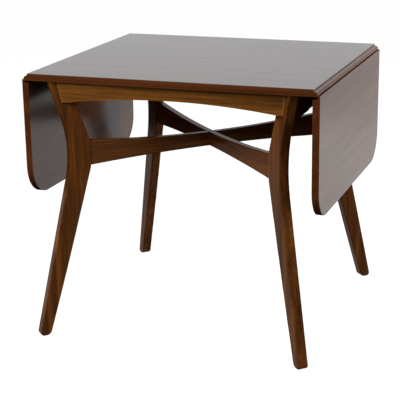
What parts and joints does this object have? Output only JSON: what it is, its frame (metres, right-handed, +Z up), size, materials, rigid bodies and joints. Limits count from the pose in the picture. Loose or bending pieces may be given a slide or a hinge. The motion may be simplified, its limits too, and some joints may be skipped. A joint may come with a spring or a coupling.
{
  "type": "drop-leaf table",
  "caption": "Dark wood drop-leaf table: a level top with a rule-jointed leaf hanging at each end, butterfly brackets to hold them up, boomerang legs and crossed waisted stretchers.",
  "frame": {"origin": "on the floor, under the middle of the top", "axes": "+X from the left leaf to the right leaf, +Y from the front to the back, +Z up"},
  "size_m": [0.832, 0.795, 0.75],
  "materials": {
    "walnut": "dark brown stain under a smooth semi-gloss lacquer, grain along each board",
    "block_wood": "plain sawn secondary wood, unfinished",
    "dowel_wood": "plain beech, unfinished",
    "hinge_brass": "dull pressed brass",
    "pin_steel": "plain steel wire",
    "screw_steel": "plain steel"
  },
  "bodies": {
    "table_frame": {"back_left_corner_block": "block_wood", "back_left_leg": "walnut", "back_rail": "walnut", "back_right_corner_block": "block_wood", "back_right_leg": "walnut", "fixed_top": "walnut", "front_left_corner_block": "block_wood", "front_left_leg": "walnut", "front_rail": "walnut", "front_right_corner_block": "block_wood", "front_right_leg": "walnut", "left_hinge_pins": "pin_steel", "left_rail": "walnut", "left_top_flap_screws": "screw_steel", "left_top_flaps": "hinge_brass", "left_wing_pins": "pin_steel", "left_wing_rail_plates": "hinge_brass", "left_wing_rail_screws": "screw_steel", "lower_stretcher": "walnut", "rail_dowels": "dowel_wood", "right_hinge_pins": "pin_steel", "right_rail": "walnut", "right_top_flap_screws": "screw_steel", "right_top_flaps": "hinge_brass", "right_wing_pins": "pin_steel", "right_wing_rail_plates": "hinge_brass", "right_wing_rail_screws": "screw_steel", "stretcher_dowels": "dowel_wood", "top_screws": "screw_steel", "upper_stretcher": "walnut"},
    "right_leaf": {"right_leaf": "walnut", "right_leaf_flaps": "hinge_brass", "right_leaf_flap_screws": "screw_steel"},
    "left_leaf": {"left_leaf": "walnut", "left_leaf_flaps": "hinge_brass", "left_leaf_flap_screws": "screw_steel"},
    "front_left_wing": {"front_left_wing": "walnut", "front_left_wing_plate": "hinge_brass", "front_left_wing_screws": "screw_steel"},
    "front_right_wing": {"front_right_wing": "walnut", "front_right_wing_plate": "hinge_brass", "front_right_wing_screws": "screw_steel"},
    "back_left_wing": {"back_left_wing": "walnut", "back_left_wing_plate": "hinge_brass", "back_left_wing_screws": "screw_steel"},
    "back_right_wing": {"back_right_wing": "walnut", "back_right_wing_plate": "hinge_brass", "back_right_wing_screws": "screw_steel"}
  },
  "joints": [
    {"name": "right_leaf_hinge", "type": "hinge", "parent": "table_frame", "child": "right_leaf", "pos_m": [0.4, 0, 0.734], "axis": [0, -1, 0], "range_deg": [0, 90]},
    {"name": "left_leaf_hinge", "type": "hinge", "parent": "table_frame", "child": "left_leaf", "pos_m": [-0.4, 0, 0.734], "axis": [0, 1, 0], "range_deg": [0, 90]},
    {"name": "front_left_wing_hinge", "type": "hinge", "parent": "table_frame", "child": "front_left_wing", "pos_m": [-0.3285, -0.29199, 0.695], "axis": [0, 0, 1], "range_deg": [0, 25]},
    {"name": "front_right_wing_hinge", "type": "hinge", "parent": "table_frame", "child": "front_right_wing", "pos_m": [0.3285, -0.29199, 0.695], "axis": [0, 0, -1], "range_deg": [0, 25]},
    {"name": "back_left_wing_hinge", "type": "hinge", "parent": "table_frame", "child": "back_left_wing", "pos_m": [-0.3285, 0.29199, 0.695], "axis": [0, 0, -1], "range_deg": [0, 25]},
    {"name": "back_right_wing_hinge", "type": "hinge", "parent": "table_frame", "child": "back_right_wing", "pos_m": [0.3285, 0.29199, 0.695], "axis": [0, 0, 1], "range_deg": [0, 25]}
  ]
}
